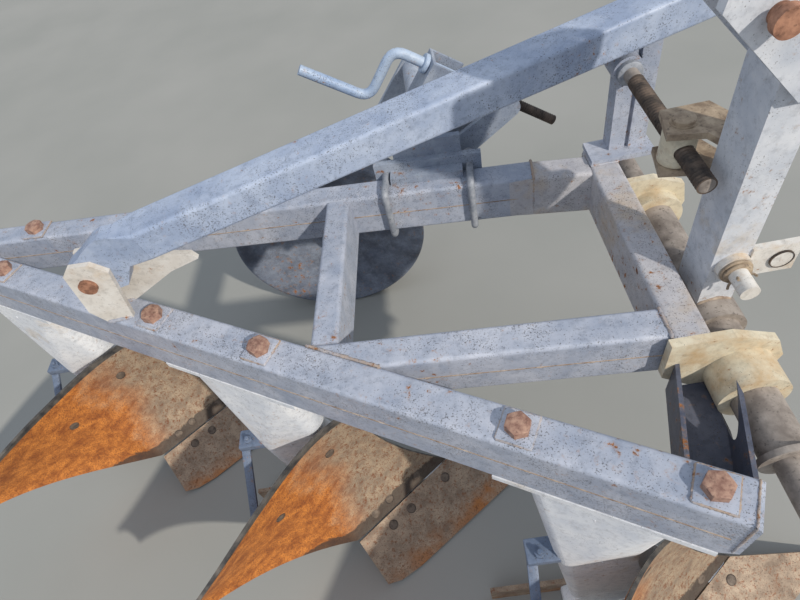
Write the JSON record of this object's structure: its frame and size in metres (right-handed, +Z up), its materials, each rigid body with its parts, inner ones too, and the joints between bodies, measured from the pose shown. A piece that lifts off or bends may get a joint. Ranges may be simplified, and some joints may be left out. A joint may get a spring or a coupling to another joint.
{
  "type": "mounted mouldboard plough",
  "caption": "Tractor-mounted one-way mouldboard plough with a welded box frame, a sliding cross shaft with mast, curved mouldboards with shares, and a screw-set depth wheel.",
  "frame": {"origin": "centre of the bounding box in plan, on the floor the plough stands on", "axes": "+X is the direction of travel, +Y points to the landside (left), +Z up"},
  "size_m": [2.2902, 1.758, 1.425],
  "materials": {
    "frame_paint": "matt",
    "stay_paint": "matt",
    "bracket_paint": "matt",
    "leg_paint": "matt",
    "mast_paint": "matt",
    "cream_paint": "matt",
    "channel_paint": "matt",
    "wheel_paint": "matt",
    "crank_paint": "matt",
    "mouldboard_steel": "rusted, worn bright in places",
    "share_steel": "rusted",
    "rusty_steel": "rusted",
    "shaft_steel": "weathered",
    "thread_steel": "greased",
    "bolt_steel": "weathered"
  },
  "bodies": {
    "frame": {"main_beam": "frame_paint", "landside_tube": "frame_paint", "landside_front": "frame_paint", "cross_tube": "frame_paint", "middle_tube": "frame_paint", "brace_tube": "frame_paint", "body_leg_1": "leg_paint", "body_leg_2": "leg_paint", "body_leg_3": "leg_paint", "mouldboard_1": "mouldboard_steel", "mouldboard_2": "mouldboard_steel", "mouldboard_3": "mouldboard_steel", "share_1": "share_steel", "share_2": "share_steel", "share_3": "share_steel", "landside_1": "share_steel", "landside_2": "share_steel", "landside_3": "share_steel", "board_stay_1": "bracket_paint", "board_stay_2": "bracket_paint", "board_stay_3": "bracket_paint", "plate_right": "cream_paint", "plate_left": "cream_paint", "front_channel": "channel_paint", "post": "frame_paint", "back_stay": "stay_paint", "stay_tongue": "stay_paint", "stay_lugs": "cream_paint", "stay_pin": "rusty_steel", "width_screw": "thread_steel", "wheel_clamp": "bracket_paint", "clamp_bolts": "bolt_steel", "wheel_bracket": "bracket_paint", "screw_tower": "bracket_paint", "depth_nut": "bolt_steel", "depth_screw": "crank_paint"},
    "headstock": {"cross_shaft": "shaft_steel", "mast": "mast_paint", "mast_lug": "cream_paint", "top_link_plates": "mast_paint", "tie_pin": "rusty_steel", "trunnion_plates": "cream_paint", "width_nut": "cream_paint"},
    "wheel_arm": {"wheel_arm": "bracket_paint"},
    "depth_wheel": {"depth_wheel": "wheel_paint"}
  },
  "joints": [
    {"name": "headstock_slide", "type": "slide", "parent": "frame", "child": "headstock", "axis": [0, 1, 0], "range_m": [-0.03, 0.085]},
    {"name": "wheel_arm_swing", "type": "hinge", "parent": "frame", "child": "wheel_arm", "pos_m": [0.3199, 0.397, 0.826], "axis": [0, 1, 0], "range_deg": [-8, 20]},
    {"name": "depth_wheel_spin", "type": "hinge", "parent": "wheel_arm", "child": "depth_wheel", "pos_m": [-0.0691, 0.779, 0.333], "axis": [0, 1, 0], "continuous": true}
  ]
}
